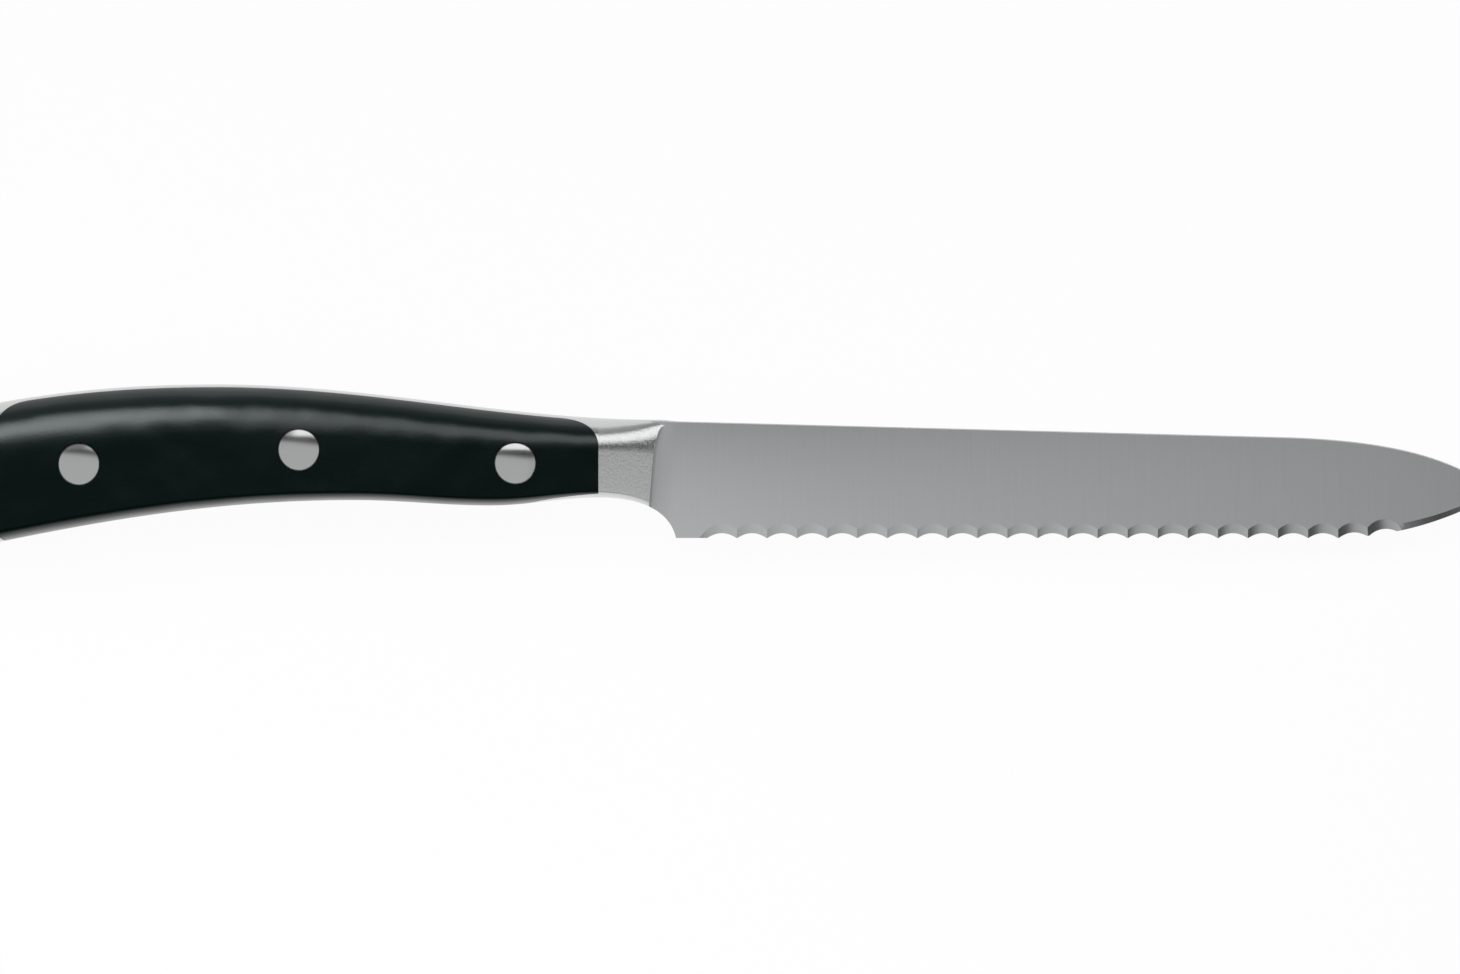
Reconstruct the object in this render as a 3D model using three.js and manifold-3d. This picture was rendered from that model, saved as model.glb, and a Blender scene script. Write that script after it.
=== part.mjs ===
// Sausage knife: a forged serrated blade with a full tang, two handle scales and three rivets.
// Millimetres. The knife lies on its left side as it would on a table:
// X runs from the butt to the point, Y from the cutting edge to the spine, Z up through the thickness.
// While it is built, x = 0 is the shoulder where the blade leaves the bolster,
// y = 0 is the straight cutting edge and z = 0 the middle plane.

import * as THREE from "three";
import { mergeVertices } from "three/addons/utils/BufferGeometryUtils.js";
import Module from "manifold-3d";

const wasm = await Module();
wasm.setup();

// Blade
const BLADE_LENGTH = 140;
const HEEL_HEIGHT = 19.65;
const SPINE_FALL = 0.026;
const SPINE_THICKNESS = 2.0;
const SPINE_CHAMFER = 0.15;
const EDGE_THICKNESS = 0.5;
const HEEL_CORNER = 2.0;
const TIP_HEIGHT = 7.6;
const TIP_FLAT = 0.35;
const EDGE_SWEEP_RADIUS = 55;
const POINT_LENGTH = 36;
const POINT_RUN = 20;
const TIP_RUN = 6;
const TIP_SLOPE = 0.85;

// Serrations, ground from the right side only
const SCALLOP_START = 7.2;
const SCALLOP_PITCH = 5.05;
const SCALLOP_DEPTH = 0.8;
const SCALLOP_TILT = 20.7;
const PLAIN_POINT = 16.5;
const BEVEL_WIDTH = 0.6;
const EDGE_LAND = 0.05;

// Handle, measured back from the shoulder and up from the cutting edge
const HANDLE_LENGTH = 121;
const FRONT_BOLSTER = 11;
const REAR_BOLSTER = 8.6;
const SHOULDER_TOP = 19.85;
const CREST_AT = 75;
const CREST_HEIGHT = 25.8;
const BUTT_TOP = 20.9;
const BUTT_TOP_SLOPE = 0.22;
const NECK_HEIGHT = 6.8;
const NOTCH_RUN = 9.4;
const NOTCH_RISE = 3.1;
const NOTCH_LEAN = 0.65;
const SWELL_AT = 29.2;
const SWELL_HEIGHT = 5.45;
const PALM_AT = 52;
const PALM_HEIGHT = 6.35;
const BUTT_BOTTOM = -2.6;
const BUTT_BOTTOM_SLOPE = 0.21;

// Handle thickness at the butt, at its fullest, behind the front bolster and at the shoulder
const BUTT_WIDTH = 13.4;
const BUTT_WIDTH_SLOPE = 0.04;
const FULL_WIDTH = 14.6;
const FULL_WIDTH_AT = 86;
const TAPER_END = 70;
const BOLSTER_WIDTH = 12.4;
const SHOULDER_WIDTH = 3.4;

// Handle section: flat sides on which the knife lies, as shares of the half height above and below the middle,
// and rounding to the back and the underside, where a higher power is closer to a square corner
const BACK = { flat: 0.15, power: 2.3, sidePower: 2.2 };
const UNDER = { flat: 0.82, power: 2.3, sidePower: 2.4 };

// Rounded butt: it leans back toward its lower corner
const BUTT_ROUND = 2.6;
const BUTT_LEAN = 1.2;
const BUTT_BULGE = 0.8;

// Cove between the bolster and the flat of the blade, with the small step where the blade grind plunges
const COVE_END = 0.45;
const COVE_RADIUS = 1.8;
const COVE_LEAN = 4.8;
const PLUNGE_LENGTH = 0.6;
const PLUNGE_HEIGHT = 0.07;

// Tang and scales
const TANG_THICKNESS = 3.4;
const SCALE_FIT = 0.1;
const FRONT_TOP_CORNER = { along: 6.5, down: 4.5 };
const FRONT_LOW_CORNER = { along: 14.5, down: 0.65, crown: 0.2 };
const REAR_TOP_CORNER = { along: 5.7, down: 4.9 };
const REAR_LOW_CORNER = { along: 3.0, down: 4.0 };
const CORNER_LEAD = 0.3;

// Two-part rivets
const RIVET_HEAD = 7.0;
const RIVET_SLEEVE = 5.0;
const RIVET_STUD = 3.2;
const RIVET_FIT = 0.1;
const RIVET_SEAT = 1.8;
const RIVET_REACH = 1.0;
const RIVET_BELOW_MIDDLE = 0.9;
const RIVET_FROM_FRONT = 13.95;
const RIVET_FROM_REAR = 14.2;
const MIDDLE_RIVET_FORWARD = 0.3;
const HEAD_RIM_DROP = 0.42;
const HEAD_CROWN_POWER = 2;

// Facets
const CURVE_STEPS = 40;
const CORNER_STEPS = 10;
const ARC_STEPS = 12;
const QUARTER_STEPS = 11;
const RIVET_STEPS = 28;
const CURVE_PULL = 0.36;

const blank = 30;
const overlap = 0.02;
const buttX = -HANDLE_LENGTH;
const scaleFront = -FRONT_BOLSTER;
const scaleRear = REAR_BOLSTER - HANDLE_LENGTH;
const tangHalf = TANG_THICKNESS / 2;
const coveStart = COVE_END - PLUNGE_LENGTH - COVE_RADIUS;

// Outlines seen from the side

function point(x, y) {
  return new THREE.Vector2(x, y);
}

// A smooth cubic from one point to another that leaves and arrives at the given slopes.
function flow(from, to, leaving, arriving) {
  const pull = CURVE_PULL * (to.x - from.x);
  const first = point(from.x + pull, from.y + leaving * pull);
  const second = point(to.x - pull, to.y - arriving * pull);
  return new THREE.CubicBezierCurve(from, first, second, to);
}

// Height as a function of x along curves joined end to end.
function heightAlong(curves) {
  const points = curves.flatMap((curve) => curve.getPoints(CURVE_STEPS));
  points.sort((a, b) => a.x - b.x);
  return (x) => {
    const after = points.findIndex((p) => p.x >= x);
    if (after === 0) return points[0].y;
    if (after < 0) return points[points.length - 1].y;
    const a = points[after - 1];
    const b = points[after];
    const share = (x - a.x) / Math.max(b.x - a.x, 1e-9);
    return a.y + share * (b.y - a.y);
  };
}

const shoulder = point(0, SHOULDER_TOP);
const crest = point(-CREST_AT, CREST_HEIGHT);
const neck = point(scaleFront, NECK_HEIGHT);
const swell = point(-SWELL_AT, SWELL_HEIGHT);
const palm = point(-PALM_AT, PALM_HEIGHT);
const heel = point(HEEL_CORNER, 0);

// Finger notch under the bolster: level at the neck, nearly upright at the heel of the blade.
const fingerNotch = new THREE.CubicBezierCurve(
  neck,
  point(neck.x + NOTCH_RUN, neck.y),
  point(heel.x - NOTCH_LEAN, NOTCH_RISE),
  heel,
);

const backHeight = heightAlong([
  flow(shoulder, crest, 0, 0),
  flow(crest, point(buttX, BUTT_TOP), 0, BUTT_TOP_SLOPE),
]);

const underHeight = heightAlong([
  fingerNotch,
  flow(neck, swell, 0, 0),
  flow(swell, palm, 0, 0),
  flow(palm, point(buttX, BUTT_BOTTOM), 0, BUTT_BOTTOM_SLOPE),
]);

// The sides taper straight from TAPER_END to the front bolster, so that each has a true flat to lie on, and the
// bolster itself tapers straight to the shoulder.
const taperRun = TAPER_END - FRONT_BOLSTER;
const taper = (FULL_WIDTH - BOLSTER_WIDTH) / 2 / (taperRun + (FULL_WIDTH_AT - TAPER_END) / 2);
const bolsterTaper = (BOLSTER_WIDTH - SHOULDER_WIDTH) / 2 / FRONT_BOLSTER;
const taperFront = point(scaleFront, BOLSTER_WIDTH / 2);
const taperRear = point(-TAPER_END, BOLSTER_WIDTH / 2 + taper * taperRun);
const fullest = point(-FULL_WIDTH_AT, FULL_WIDTH / 2);

const halfWidth = heightAlong([
  flow(point(0, SHOULDER_WIDTH / 2), taperFront, -bolsterTaper, -bolsterTaper),
  flow(taperFront, taperRear, -taper, -taper),
  flow(taperRear, fullest, -taper, 0),
  flow(fullest, point(buttX, BUTT_WIDTH / 2), 0, BUTT_WIDTH_SLOPE),
]);

// The edge is straight, then sweeps up to the tip on one radius.
const sweepReach = Math.sqrt(2 * EDGE_SWEEP_RADIUS * TIP_HEIGHT - TIP_HEIGHT ** 2);
const sweepStart = BLADE_LENGTH - sweepReach;

function edgeHeight(x) {
  const past = Math.max(0, x - sweepStart);
  return EDGE_SWEEP_RADIUS - Math.sqrt(EDGE_SWEEP_RADIUS ** 2 - past ** 2);
}

function edgeAngle(x) {
  return Math.asin(Math.max(0, x - sweepStart) / EDGE_SWEEP_RADIUS);
}

const pointStart = point(BLADE_LENGTH - POINT_LENGTH, HEEL_HEIGHT - SPINE_FALL * (BLADE_LENGTH - POINT_LENGTH));
const tip = point(BLADE_LENGTH, TIP_HEIGHT);
const pointCurve = new THREE.CubicBezierCurve(
  pointStart,
  point(pointStart.x + POINT_RUN, pointStart.y - SPINE_FALL * POINT_RUN),
  point(tip.x - TIP_RUN, tip.y + TIP_SLOPE * TIP_RUN),
  tip,
);
const pointHeight = heightAlong([pointCurve]);

function spineHeight(x) {
  return x < pointStart.x ? HEEL_HEIGHT - SPINE_FALL * x : pointHeight(x);
}

// Flat-ground wedge: the thickness grows from the edge to the spine.
const wedge = (SPINE_THICKNESS - EDGE_THICKNESS) / 2 / HEEL_HEIGHT;

function bladeHalf(x, y) {
  return EDGE_THICKNESS / 2 + wedge * (y - edgeHeight(x));
}

// Half the thickness of the finished handle at a place seen from the side.
function handleHalf(x, y) {
  const middle = (backHeight(x) + underHeight(x)) / 2;
  const reach = (backHeight(x) - underHeight(x)) / 2;
  const share = Math.min(1, Math.abs(y - middle) / reach);
  const { flat, power, sidePower } = y > middle ? BACK : UNDER;
  const past = Math.max(0, (share - flat) / (1 - flat));
  return halfWidth(x) * (1 - past ** power) ** (1 / sidePower);
}

// Solids

function solid(geometry) {
  const bare = geometry.clone();
  bare.deleteAttribute("normal");
  bare.deleteAttribute("uv");
  const merged = mergeVertices(bare, 1e-5);
  const corners = merged.index.array;
  const kept = [];
  for (let i = 0; i < corners.length; i += 3) {
    const [a, b, c] = [corners[i], corners[i + 1], corners[i + 2]];
    if (a !== b && b !== c && c !== a) kept.push(a, b, c);
  }
  const mesh = new wasm.Mesh({
    numProp: 3,
    vertProperties: new Float32Array(merged.attributes.position.array),
    triVerts: new Uint32Array(kept),
  });
  return new wasm.Manifold(mesh);
}

function named(name, body, material) {
  const mesh = body.getMesh();
  const geometry = new THREE.BufferGeometry();
  geometry.setAttribute("position", new THREE.BufferAttribute(new Float32Array(mesh.vertProperties), 3));
  geometry.setIndex(new THREE.BufferAttribute(new Uint32Array(mesh.triVerts), 1));
  geometry.computeVertexNormals();
  const part = new THREE.Mesh(geometry, material);
  part.name = name;
  return part;
}

// Skin over rings of points; each ring runs up the right side, over the top and down the left side.
function loft(rings) {
  const count = rings[0].length;
  const corners = rings.flat();
  const index = [];
  for (let r = 0; r < rings.length - 1; r += 1) {
    for (let i = 0; i < count; i += 1) {
      const a = r * count + i;
      const b = r * count + ((i + 1) % count);
      index.push(a, a + count, b, b, a + count, b + count);
    }
  }
  const first = corners.length;
  const last = first + 1;
  const end = (rings.length - 1) * count;
  corners.push(centre(rings[0]), centre(rings[rings.length - 1]));
  for (let i = 0; i < count; i += 1) {
    const next = (i + 1) % count;
    index.push(first, i, next);
    index.push(last, end + next, end + i);
  }
  const geometry = new THREE.BufferGeometry().setFromPoints(corners);
  geometry.setIndex(index);
  return geometry;
}

function centre(ring) {
  const sum = new THREE.Vector3();
  ring.forEach((corner) => sum.add(corner));
  return sum.divideScalar(ring.length);
}

function mirrored(geometry) {
  const copy = geometry.index ? geometry.toNonIndexed() : geometry.clone();
  const place = copy.attributes.position;
  for (let i = 0; i < place.count; i += 3) {
    const [x, y, z] = [place.getX(i + 1), place.getY(i + 1), place.getZ(i + 1)];
    place.setXYZ(i, place.getX(i), place.getY(i), -place.getZ(i));
    place.setXYZ(i + 1, place.getX(i + 2), place.getY(i + 2), -place.getZ(i + 2));
    place.setXYZ(i + 2, x, y, -z);
  }
  return copy;
}

function prism(shape, from, to) {
  const geometry = new THREE.ExtrudeGeometry(shape, {
    depth: to - from,
    bevelEnabled: false,
    curveSegments: CORNER_STEPS,
  });
  return geometry.translate(0, 0, from);
}

// A prism whose outline lies across the directions u and n and which runs along -u x n.
function placedPrism(shape, length, u, n, origin) {
  const axis = new THREE.Vector3().crossVectors(u, n);
  const geometry = new THREE.ExtrudeGeometry(shape, { depth: length, bevelEnabled: false, curveSegments: ARC_STEPS });
  geometry.translate(0, 0, -length / 2);
  const frame = new THREE.Matrix4().makeBasis(u, n, axis).setPosition(origin);
  return geometry.applyMatrix4(frame);
}

// Finished handle, bolsters included, as one smooth body that is then divided into its pieces

// A quarter of the section, from the end of the flat to the back or the underside, as shares of its half
// thickness and half height.
function quarterSection(rise, { flat, power, sidePower }) {
  const shares = [];
  for (let i = 0; i <= QUARTER_STEPS; i += 1) {
    const angle = (Math.PI / 2) * (i / QUARTER_STEPS);
    const up = flat + (1 - flat) * Math.sin(angle) ** (2 / power);
    shares.push({ out: Math.max(0, Math.cos(angle)) ** (2 / sidePower), up: rise * up });
  }
  return shares;
}

const rightSection = [
  ...quarterSection(-1, UNDER).reverse(),
  ...quarterSection(1, BACK),
];
const leftSection = rightSection.slice(1, -1).map((share) => ({ out: -share.out, up: share.up }));
const handleSection = [...rightSection, ...leftSection.reverse()];

function handleRing(x, inset, lean, size) {
  const middle = (backHeight(x) + underHeight(x)) / 2;
  const reach = (backHeight(x) - underHeight(x)) / 2 - inset;
  const width = halfWidth(x) - inset;
  return handleSection.map(({ out, up }) => {
    return new THREE.Vector3(x + lean * size * up, middle + size * reach * up, size * width * out);
  });
}

function handleBody() {
  const rings = [];
  const domeSteps = 3;
  for (let i = 1; i <= domeSteps; i += 1) {
    const size = i / (domeSteps + 1);
    const ring = handleRing(buttX, BUTT_ROUND, BUTT_LEAN, size);
    const bulge = BUTT_BULGE * (1 - size ** 2);
    rings.push(ring.map((corner) => corner.setX(corner.x - bulge)));
  }
  const roundSteps = 6;
  for (let i = 0; i <= roundSteps; i += 1) {
    const angle = (Math.PI / 2) * (i / roundSteps);
    const behind = BUTT_ROUND * (1 - Math.cos(angle));
    const inset = BUTT_ROUND * (1 - Math.sin(angle));
    const lean = BUTT_LEAN * (1 - behind / REAR_BOLSTER);
    rings.push(handleRing(buttX + behind, inset, lean, 1));
  }
  const rearSteps = 4;
  for (let i = 1; i <= rearSteps; i += 1) {
    const x = buttX + BUTT_ROUND + ((REAR_BOLSTER - BUTT_ROUND) * i) / rearSteps;
    rings.push(handleRing(x, 0, BUTT_LEAN * ((scaleRear - x) / REAR_BOLSTER), 1));
  }
  const gripSteps = 24;
  for (let i = 1; i <= gripSteps; i += 1) {
    rings.push(handleRing(scaleRear + ((scaleFront - scaleRear) * i) / gripSteps, 0, 0, 1));
  }
  const bolsterSteps = 12;
  for (let i = 1; i <= bolsterSteps; i += 1) {
    rings.push(handleRing(scaleFront + ((COVE_END - scaleFront) * i) / bolsterSteps, 0, 0, 1));
  }
  return solid(loft(rings));
}

// Outline of a scale seen from the side, smaller all round by the inset; it runs past the back and the
// underside of the handle, whose own surface trims it there.
function scaleOutline(inset) {
  const front = scaleFront - inset;
  const rear = scaleRear + inset;
  const high = CREST_HEIGHT + blank;
  const low = BUTT_BOTTOM - blank;
  const back = (x) => backHeight(x) - inset;
  const under = (x) => underHeight(x) + inset;
  const shape = new THREE.Shape();
  const frontHigh = front - FRONT_TOP_CORNER.along;
  shape.moveTo(frontHigh, high);
  shape.lineTo(frontHigh, back(frontHigh) + CORNER_LEAD);
  shape.quadraticCurveTo(front, back(front), front, back(front) - FRONT_TOP_CORNER.down);
  shape.lineTo(front, under(front) + FRONT_LOW_CORNER.down);
  const frontLow = front - FRONT_LOW_CORNER.along;
  const lowCrown = under(front) + FRONT_LOW_CORNER.crown;
  shape.quadraticCurveTo((front + frontLow) / 2, lowCrown, frontLow, under(frontLow) - CORNER_LEAD);
  shape.lineTo(frontLow, low);
  const rearLow = rear + REAR_LOW_CORNER.along;
  shape.lineTo(rearLow, low);
  shape.lineTo(rearLow, under(rearLow) - CORNER_LEAD);
  shape.quadraticCurveTo(rear, under(rear), rear, under(rear) + REAR_LOW_CORNER.down);
  shape.lineTo(rear, back(rear) - REAR_TOP_CORNER.down);
  const rearHigh = rear + REAR_TOP_CORNER.along;
  shape.quadraticCurveTo(rear, back(rear), rearHigh, back(rearHigh) + CORNER_LEAD);
  shape.lineTo(rearHigh, high);
  return shape;
}

// Concave run-out from the bolster to the flat of the blade, right side.
function coveCutter() {
  const lean = THREE.MathUtils.degToRad(COVE_LEAN);
  const across = new THREE.Vector3(0, -wedge, 1).normalize();
  const upright = new THREE.Vector3(0, 1, wedge).normalize();
  const along = new THREE.Vector3(Math.cos(lean), 0, 0).addScaledVector(upright, -Math.sin(lean)).normalize();
  const shape = new THREE.Shape();
  shape.moveTo(blank, -overlap);
  shape.lineTo(blank, blank);
  shape.lineTo(coveStart - COVE_END, blank);
  shape.absarc(-PLUNGE_LENGTH, PLUNGE_HEIGHT + COVE_RADIUS, COVE_RADIUS, Math.PI, 1.5 * Math.PI, false);
  shape.quadraticCurveTo(-PLUNGE_LENGTH / 2, -overlap, 0, -overlap);
  const middle = SHOULDER_TOP / 2;
  const origin = new THREE.Vector3(COVE_END, middle, bladeHalf(0, middle));
  return placedPrism(shape, 2 * blank, along, across, origin);
}

// Blade

function bladeRing(x) {
  const low = edgeHeight(x);
  const high = spineHeight(x);
  const chamfer = Math.min(SPINE_CHAMFER, 0.3 * (high - low));
  const edge = EDGE_THICKNESS / 2;
  const side = bladeHalf(x, high - chamfer);
  const top = bladeHalf(x, high) - chamfer;
  return [
    new THREE.Vector3(x, low, edge),
    new THREE.Vector3(x, high - chamfer, side),
    new THREE.Vector3(x, high, top),
    new THREE.Vector3(x, high, -top),
    new THREE.Vector3(x, high - chamfer, -side),
    new THREE.Vector3(x, low, -edge),
  ];
}

function wedgeBlade() {
  const closing = TIP_SLOPE + Math.tan(edgeAngle(BLADE_LENGTH));
  const end = BLADE_LENGTH - TIP_FLAT / closing;
  const rings = [bladeRing(coveStart), bladeRing(pointStart.x)];
  const pointSteps = 18;
  for (let i = 1; i <= pointSteps; i += 1) {
    rings.push(bladeRing(pointStart.x + ((end - pointStart.x) * i) / pointSteps));
  }
  return solid(loft(rings));
}

// Everything below and behind the finger notch.
function notchCutter() {
  const shape = new THREE.Shape();
  shape.setFromPoints(fingerNotch.getPoints(CURVE_STEPS / 2));
  shape.lineTo(heel.x, -blank);
  shape.lineTo(neck.x, -blank);
  return solid(prism(shape, -blank, blank));
}

// One scallop: the path of a round grinding wheel, tilted so that it is deepest at the edge.
const tilt = THREE.MathUtils.degToRad(SCALLOP_TILT);
const wheelRadius = (SCALLOP_PITCH / 2) ** 2 / (2 * SCALLOP_DEPTH * (Math.tan(tilt) + wedge));
const scallopCount = Math.round((BLADE_LENGTH - PLAIN_POINT - SCALLOP_START) / SCALLOP_PITCH);

function scallopCutter(x) {
  const turn = edgeAngle(x);
  const along = new THREE.Vector3(Math.cos(turn), Math.sin(turn), 0);
  const upright = new THREE.Vector3(-Math.sin(turn), Math.cos(turn), 0);
  const across = new THREE.Vector3(0, 0, Math.cos(tilt)).addScaledVector(upright, -Math.sin(tilt));
  const halfArc = Math.min(Math.PI / 3, 1.9 * Math.asin(SCALLOP_PITCH / 2 / wheelRadius));
  const shape = new THREE.Shape();
  shape.absarc(0, wheelRadius, wheelRadius, -Math.PI / 2 - halfArc, -Math.PI / 2 + halfArc, false);
  const origin = new THREE.Vector3(x, edgeHeight(x), -bladeHalf(x, edgeHeight(x) + SCALLOP_DEPTH));
  origin.addScaledVector(upright, SCALLOP_DEPTH);
  return solid(placedPrism(shape, HEEL_HEIGHT, along, across, origin));
}

// Plain sharpening bevel of the point, right side, which fades in beside the last scallop.
function bevelCutter() {
  const start = SCALLOP_START + SCALLOP_PITCH * (scallopCount - 0.3);
  const depth = EDGE_THICKNESS - EDGE_LAND + wedge * BEVEL_WIDTH;
  const spare = 0.8;
  const steps = 10;
  const rings = [];
  for (let i = 0; i <= steps; i += 1) {
    const x = start + ((BLADE_LENGTH + 1 - start) * i) / steps;
    const turn = edgeAngle(x);
    const rise = i === 0 ? -BEVEL_WIDTH : 0;
    const place = (share, raise) => {
      const height = rise + BEVEL_WIDTH * share;
      const z = EDGE_LAND - EDGE_THICKNESS / 2 + depth * raise;
      return new THREE.Vector3(x - Math.sin(turn) * height, edgeHeight(x) + Math.cos(turn) * height, z);
    };
    rings.push([place(-spare, 1 + spare), place(1 + spare, 1 + spare), place(-spare, -spare)]);
  }
  return solid(loft(rings));
}

// Rivets

const rivetPlaces = {
  front: scaleFront - RIVET_FROM_FRONT,
  middle: (scaleFront - RIVET_FROM_FRONT + scaleRear + RIVET_FROM_REAR) / 2 + MIDDLE_RIVET_FORWARD,
  rear: scaleRear + RIVET_FROM_REAR,
};
const rivetSeat = tangHalf + RIVET_SEAT;
const sleeveEnd = tangHalf + RIVET_REACH;
const headRings = 5;

function rivetHeight(x) {
  return (backHeight(x) + underHeight(x)) / 2 - RIVET_BELOW_MIDDLE;
}

function turned(profile) {
  const lathe = new THREE.LatheGeometry(profile, RIVET_STEPS);
  return lathe.rotateX(Math.PI / 2);
}

function bore(x, radius, from, to) {
  const profile = [point(0, from), point(radius, from), point(radius, to), point(0, to)];
  return solid(turned(profile).translate(x, rivetHeight(x), 0));
}

// A rivet half with its head up; the head is ground flush with the handle and falls away a little at its rim.
function rivetHalf(x, shank) {
  const radius = RIVET_HEAD / 2;
  const profile = [...shank, point(radius, rivetSeat)];
  for (let i = 0; i <= headRings; i += 1) {
    profile.push(point(radius * Math.sqrt(1 - i / headRings), FULL_WIDTH));
  }
  const geometry = turned(profile).translate(x, rivetHeight(x), 0);
  const place = geometry.attributes.position;
  for (let i = 0; i < place.count; i += 1) {
    if (place.getZ(i) < FULL_WIDTH - 1e-3) continue;
    const out = Math.hypot(place.getX(i) - x, place.getY(i) - rivetHeight(x)) / radius;
    const fall = HEAD_RIM_DROP * out ** HEAD_CROWN_POWER;
    place.setZ(i, handleHalf(place.getX(i), place.getY(i)) - fall);
  }
  return geometry;
}

function rivetStud(x) {
  const radius = RIVET_STUD / 2;
  const shank = [point(0, -sleeveEnd), point(radius, -sleeveEnd), point(radius, rivetSeat)];
  return solid(rivetHalf(x, shank));
}

// The sleeve comes in from the left, so it is made with its head up and then mirrored.
function rivetSleeve(x) {
  const outer = RIVET_SLEEVE / 2;
  const inner = RIVET_STUD / 2 + RIVET_FIT;
  const floor = sleeveEnd + 2 * RIVET_FIT;
  const shank = [point(0, floor), point(inner, floor), point(inner, -sleeveEnd), point(outer, -sleeveEnd)];
  shank.push(point(outer, rivetSeat));
  return solid(mirrored(rivetHalf(x, shank)));
}

// Assembly

const steel = { color: 0xa5a6a8, roughness: 0.32, metalness: 1 };
const rivetSteel = { color: 0xb4b5b4, roughness: 0.22, metalness: 1 };
const blackPlastic = { color: 0x0e1716, roughness: 0.42, metalness: 0 };

function finish(look) {
  return new THREE.MeshStandardMaterial(look);
}

const handle = handleBody();
const rivetXs = Object.values(rivetPlaces);

function shankHole(x) {
  return bore(x, RIVET_SLEEVE / 2 + RIVET_FIT, -blank, blank);
}

function headHole(x) {
  const right = bore(x, RIVET_HEAD / 2 + RIVET_FIT, rivetSeat, blank);
  const left = bore(x, RIVET_HEAD / 2 + RIVET_FIT, -blank, -rivetSeat);
  return right.add(left);
}

function forging() {
  const pocket = prism(scaleOutline(0), tangHalf, blank);
  const cove = coveCutter();
  let body = handle.subtract(solid(pocket)).subtract(solid(mirrored(pocket)));
  body = body.subtract(solid(cove)).subtract(solid(mirrored(cove)));
  let blade = wedgeBlade().subtract(notchCutter()).subtract(bevelCutter());
  for (let i = 0; i < scallopCount; i += 1) {
    blade = blade.subtract(scallopCutter(SCALLOP_START + SCALLOP_PITCH * (i + 0.5)));
  }
  body = body.add(blade);
  rivetXs.forEach((x) => {
    body = body.subtract(shankHole(x));
  });
  return body;
}

function scale(blankPiece) {
  let body = handle.intersect(solid(blankPiece));
  rivetXs.forEach((x) => {
    body = body.subtract(shankHole(x)).subtract(headHole(x));
  });
  return body;
}

const knife = new THREE.Group();
knife.name = "sausage_knife";
const scaleBlank = prism(scaleOutline(SCALE_FIT), tangHalf, blank);
knife.add(named("blade_and_tang", forging(), finish(steel)));
knife.add(named("right_scale", scale(scaleBlank), finish(blackPlastic)));
knife.add(named("left_scale", scale(mirrored(scaleBlank)), finish(blackPlastic)));
Object.entries(rivetPlaces).forEach(([place, x]) => {
  knife.add(named(`${place}_rivet_stud`, rivetStud(x), finish(rivetSteel)));
  knife.add(named(`${place}_rivet_sleeve`, rivetSleeve(x), finish(rivetSteel)));
});

// Origin: the middle of the footprint, on the table the knife lies on.
const box = new THREE.Box3().setFromObject(knife);
const footprint = box.getCenter(new THREE.Vector3());
knife.children.forEach((piece) => piece.geometry.translate(-footprint.x, -footprint.y, -box.min.z));

export default knife;
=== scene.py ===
# Sausage knife: a forged stainless blade with a scalloped edge, black riveted scales and steel bolsters,
# lying on its left side and seen from straight above.
# Shapes are worked out in millimetres from the shoulder of the blade (x = 0), the straight cutting edge
# (y = 0) and the middle plane (z = 0). They are moved to the part's own frame, in metres, as each piece is
# finished.

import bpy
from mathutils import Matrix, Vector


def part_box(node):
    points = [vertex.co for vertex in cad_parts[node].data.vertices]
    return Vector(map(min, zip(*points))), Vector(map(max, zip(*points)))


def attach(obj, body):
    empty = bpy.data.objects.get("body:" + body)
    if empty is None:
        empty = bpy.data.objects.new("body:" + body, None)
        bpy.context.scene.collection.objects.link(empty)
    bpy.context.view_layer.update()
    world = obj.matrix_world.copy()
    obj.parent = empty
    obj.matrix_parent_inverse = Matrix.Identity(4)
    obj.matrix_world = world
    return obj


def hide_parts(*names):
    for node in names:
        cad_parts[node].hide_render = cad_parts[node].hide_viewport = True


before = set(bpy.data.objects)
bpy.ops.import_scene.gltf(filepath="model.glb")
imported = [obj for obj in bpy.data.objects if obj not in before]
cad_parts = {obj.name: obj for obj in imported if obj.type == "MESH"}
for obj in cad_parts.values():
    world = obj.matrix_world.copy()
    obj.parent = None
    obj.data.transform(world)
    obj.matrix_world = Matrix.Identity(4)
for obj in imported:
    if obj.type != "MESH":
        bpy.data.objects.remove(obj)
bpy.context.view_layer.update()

import math

import bmesh
import bpy
import numpy as np

# Blade
BLADE_LENGTH = 140
HEEL_HEIGHT = 19.65
SPINE_FALL = 0.026
SPINE_THICKNESS = 2.0
SPINE_ROUND, SPINE_ROUND_SHARE = 0.22, 0.2
EDGE_THICKNESS = 0.5
HEEL_CORNER = 2.0
TIP_HEIGHT = 7.6
TIP_FLAT = 0.35
EDGE_SWEEP_RADIUS = 55
POINT_LENGTH = 36
POINT_RUN = 20
TIP_RUN = 6
TIP_SLOPE = 0.85

# Serrations and the plain bevel of the point, ground from the right side only
SCALLOP_START = 7.2
SCALLOP_PITCH = 5.05
SCALLOP_DEPTH = 0.8
SCALLOP_TILT = 20.7
SCALLOP_COUNT = 23
BEVEL_START_WIDTH = 1.2
BEVEL_WIDTH = 0.6
BEVEL_START_DEPTH, BEVEL_FULL_AT = 0.35, 0.6
BEVEL_LEAD = 0.3
BEVEL_RUN_IN = 12
BEVEL_OVERCUT = 0.8
BEVEL_PAST_TIP = 1
EDGE_LAND = 0.05

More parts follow.
